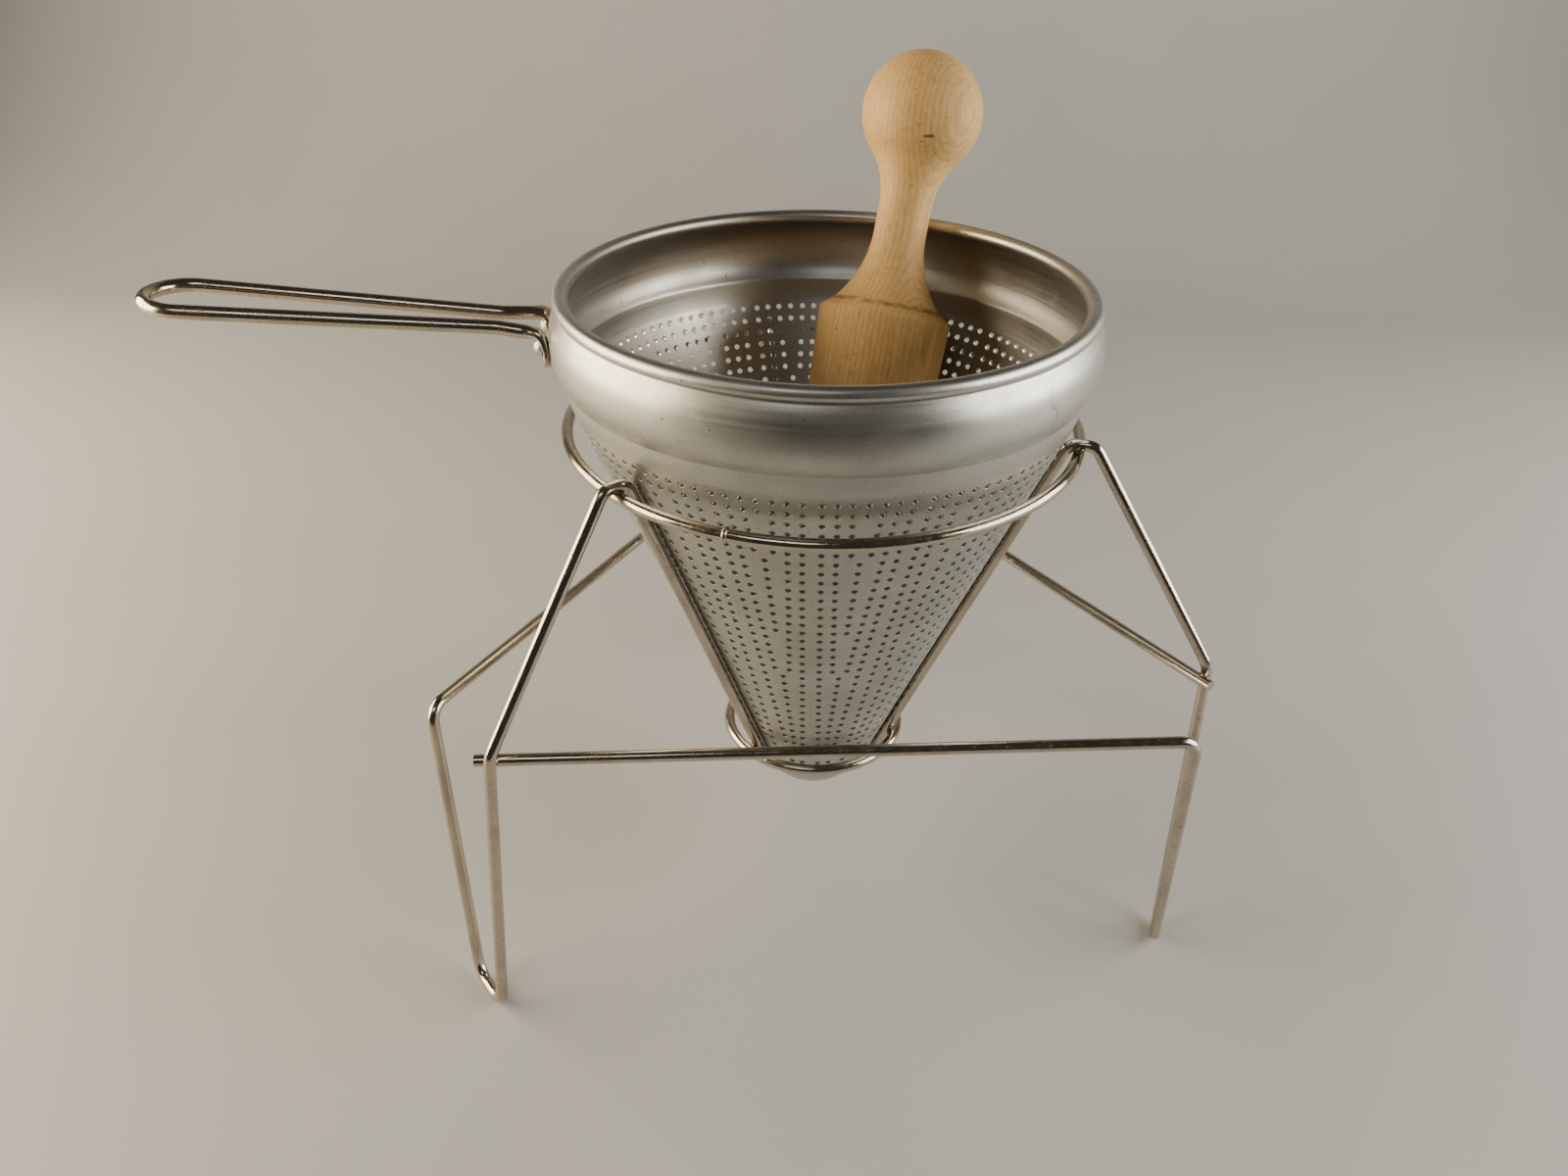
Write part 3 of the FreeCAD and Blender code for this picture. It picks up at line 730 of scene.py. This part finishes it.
def weld_metal():
    """Scorched weld residue."""
    m = Shader("weld_metal", (0.22, 0.19, 0.16), 0.85, 0.45)
    scorch = m.ramp(m.noise(0.8, 4, 0.7), 0.35, 0.65)
    m.set("Base Color", m.mix(scorch, (0.34, 0.30, 0.25), (0.10, 0.075, 0.055)))
    m.set("Roughness", m.ramp(scorch, 0, 1, 0.35, 0.62))
    m.bump(m.noise(1.6, 4, 0.7), 0.5, 0.12)
    return m.material


def rivet_metal():
    """Dull aluminium rivet, faintly marked by its setting tool."""
    m = Shader("rivet_metal", (0.55, 0.53, 0.50), 1.0, 0.36)
    worn = m.ramp(m.noise(0.7, 4, 0.6), 0.35, 0.7)
    m.set("Base Color", m.mix(worn, (0.62, 0.60, 0.57), (0.34, 0.31, 0.28)))
    m.set("Roughness", m.ramp(worn, 0, 1, 0.28, 0.5))
    m.bump(m.noise(1.1, 3), 0.4, 0.08)
    return m.material


def turned_wood(base, turn):
    """Pale close-grained hardwood: growth rings, fine flecks, small marks, and painted shade in the
    shoulder crease.
    """
    m = Shader("pestle_wood", (0.60, 0.37, 0.14), 0.0, 0.58)
    unturned = m.place
    m.lie_along(base, turn)
    rings = m.node("ShaderNodeTexWave", wave_type="RINGS", rings_direction="Z", wave_profile="SAW")
    rings.inputs["Scale"].default_value = 1.0
    rings.inputs["Distortion"].default_value = 2.4
    rings.inputs["Detail"].default_value = 3.0
    rings.inputs["Detail Scale"].default_value = 1.0
    m.link(m.mapped((0.17, 0.17, 0.014), (5.6, -3.1, 0.0)), rings.inputs["Vector"])
    rings = rings.outputs["Fac"]
    tone = m.noise((0.05, 0.05, 0.012), 4)
    mottle = m.noise(0.30, 4, 0.65)
    grain = m.noise((1.2, 1.2, 0.05), 4, 0.6)
    flecks = m.ramp(m.noise((1.0, 1.0, 0.22), 2, 0.5, location=(2.0, 5.0, 1.0)), 0.57, 0.68)
    specks = m.ramp(m.noise(0.55, 1, 0.4, location=(7.0, 1.0, 4.0)), 0.755, 0.78)
    wood = m.mix(m.ramp(tone, 0.3, 0.7), (0.665, 0.425, 0.165), (0.55, 0.335, 0.12))
    wood = m.mix(m.ramp(mottle, 0.40, 0.70, 0.0, 0.28), wood, (0.43, 0.25, 0.085))
    wood = m.mix(m.ramp(rings, 0.35, 1.0, 0.0, 0.38), wood, (0.38, 0.21, 0.065))
    wood = m.mix(m.ramp(grain, 0.45, 0.75, 0.0, 0.42), wood, (0.35, 0.195, 0.065))
    wood = m.mix(m.math("MULTIPLY", flecks, 0.40), wood, (0.31, 0.165, 0.055))
    apart = m.node("ShaderNodeSeparateXYZ")
    m.link(m.place, apart.inputs["Vector"])
    # Painted shade: a dark ring painted on the wood at the shoulder crease, where shade falls, broken
    # up by the mottle.
    step = m.math("ABSOLUTE", m.math("SUBTRACT", apart.outputs["Z"], SHOULDER_AT * MM), 0)
    crease_shade = m.math("MULTIPLY", m.ramp(step, 0.2 * MM, 1.3 * MM, 0.75, 0.0), m.ramp(mottle, 0.3, 0.6))
    wood = m.mix(crease_shade, wood, (0.15, 0.08, 0.03))
    mark = m.node("ShaderNodeTexGradient", gradient_type="SPHERICAL")
    spot = m.node("ShaderNodeVectorMath", operation="SUBTRACT")
    m.link(unturned, spot.inputs[0])
    spot.inputs[1].default_value = KNOB_MARK_AT * MM
    size = m.node("ShaderNodeVectorMath", operation="MULTIPLY")
    m.link(spot.outputs["Vector"], size.inputs[0])
    size.inputs[1].default_value = [1 / (half * MM) for half in KNOB_MARK_HALF]
    m.link(size.outputs["Vector"], mark.inputs["Vector"])
    scratch = m.math("MULTIPLY", m.ramp(mark.outputs["Fac"], 0.05, 0.5), 0.85)
    wood = m.mix(m.math("MAXIMUM", m.math("MULTIPLY", specks, 0.75), scratch), wood, (0.09, 0.05, 0.03))
    m.set("Base Color", wood)
    m.set("Roughness", m.ramp(tone, 0.3, 0.7, 0.52, 0.64))
    m.bsdf.inputs["Specular IOR Level"].default_value = 0.22
    fine = m.bump(grain, 0.3, 0.06)
    pores = m.bump(mottle, 0.25, 0.10, fine)
    m.bump(rings, 0.12, 0.05, pores)
    return m.material


def floor_material():
    """Pale matt sheet."""
    m = Shader("floor_sheet", (0.74, 0.73, 0.71), 0.0, 0.55)
    m.set("Base Color", m.mix(m.noise(0.008, 3), (0.41, 0.405, 0.39), (0.37, 0.365, 0.35)))
    m.bump(m.noise(0.5, 3), 0.05, 0.1)
    return m.material


def paint(obj, material):
    obj.data.materials.clear()
    obj.data.materials.append(material)


# --------------------------------------------------------------------- stage
def floor():
    """Pale sheet that sweeps up behind the object."""
    front, back, bend, wall, half = -0.42, 0.62, 0.35, 2.2, 2.0
    profile = [(front, 0.0), (back, 0.0)]
    profile += [(back + bend * sin(radians(a)), bend * (1 - cos(radians(a)))) for a in range(6, 91, 6)]
    profile.append((back + bend, wall))
    verts = [(x, y, z) for y, z in profile for x in (-half, half)]
    faces = [(2 * i, 2 * i + 1, 2 * i + 3, 2 * i + 2) for i in range(len(profile) - 1)]
    mesh = bpy.data.meshes.new("floor")
    mesh.from_pydata(verts, [], faces)
    for polygon in mesh.polygons:
        polygon.use_smooth = True
    obj = bpy.data.objects.new("floor", mesh)
    bpy.context.scene.collection.objects.link(obj)
    paint(obj, floor_material())


def area_light(name, location, target, size, power, color):
    """Rectangular soft light, unseen by the camera."""
    data = bpy.data.lights.new(name, "AREA")
    data.shape = "RECTANGLE"
    data.size, data.size_y = size
    data.energy = power
    data.color = color
    obj = bpy.data.objects.new(name, data)
    bpy.context.scene.collection.objects.link(obj)
    obj.location = location
    aim = Vector(target) - Vector(location)
    obj.rotation_mode = "QUATERNION"
    obj.rotation_quaternion = aim.to_track_quat("-Z", "Y")
    obj.visible_camera = False


def lights():
    """Warm panel on the left, cooler one on the right, weak one in front, dim room."""
    area_light("left_panel", (-0.85, 0.0, 0.35), (0, 0, 0.10), (0.9, 0.6), 21, (1.0, 0.86, 0.64))
    area_light("right_panel", (0.85, -0.05, 0.40), (0, 0, 0.10), (0.9, 0.6), 14, (1.0, 0.97, 0.90))
    area_light("front_panel", (-0.25, -0.75, 0.95), (0, 0, 0), (0.5, 0.25), 1.2, (1.0, 0.97, 0.93))
    world = bpy.data.worlds.new("studio")
    bpy.context.scene.world = world
    world.use_nodes = True
    background = world.node_tree.nodes["Background"]
    background.inputs["Color"].default_value = (0.80, 0.74, 0.68, 1)
    background.inputs["Strength"].default_value = 0.06


def camera():
    """Camera at the viewing angle, with its slight roll."""
    y, p, r = CAMERA_YAW, CAMERA_PITCH, CAMERA_ROLL
    ahead = Vector((sin(y) * cos(p), cos(y) * cos(p), -sin(p)))
    right = Vector((cos(y), -sin(y), 0))
    up = right.cross(ahead)
    rolled_right = right * cos(r) + up * sin(r)
    rolled_up = up * cos(r) - right * sin(r)
    data = bpy.data.cameras.new("camera")
    data.sensor_width = CAMERA_SENSOR
    data.lens = CAMERA_LENS
    data.clip_start, data.clip_end = 0.01, 20.0
    obj = bpy.data.objects.new("camera", data)
    bpy.context.scene.collection.objects.link(obj)
    turn = Matrix((rolled_right, rolled_up, -ahead)).transposed().to_4x4()
    obj.matrix_world = Matrix.Translation(CAMERA_AT) @ turn
    bpy.context.scene.camera = obj


# ---------------------------------------------------------------------- make
camera()
floor()
lights()
paint(strainer_bowl(), aluminium())
paint(handle(), plated_wire("handle_plate", (0.54, 0.47, 0.36), 0.56))
turning, pestle_end, pestle_turn = pestle()
paint(turning, turned_wood(pestle_end, pestle_turn))
stand_plate = plated_wire("stand_plate", (0.50, 0.44, 0.35), 0.58)
for node in ("upper_ring", "lower_ring", "leg_front_left", "leg_right", "leg_back"):
    paint(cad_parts[node], stand_plate)
rivets = rivet_metal()
for node in ("rivet_near", "rivet_far"):
    paint(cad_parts[node], rivets)
scorched = weld_metal()
for piece in welds():
    paint(piece, scorched)
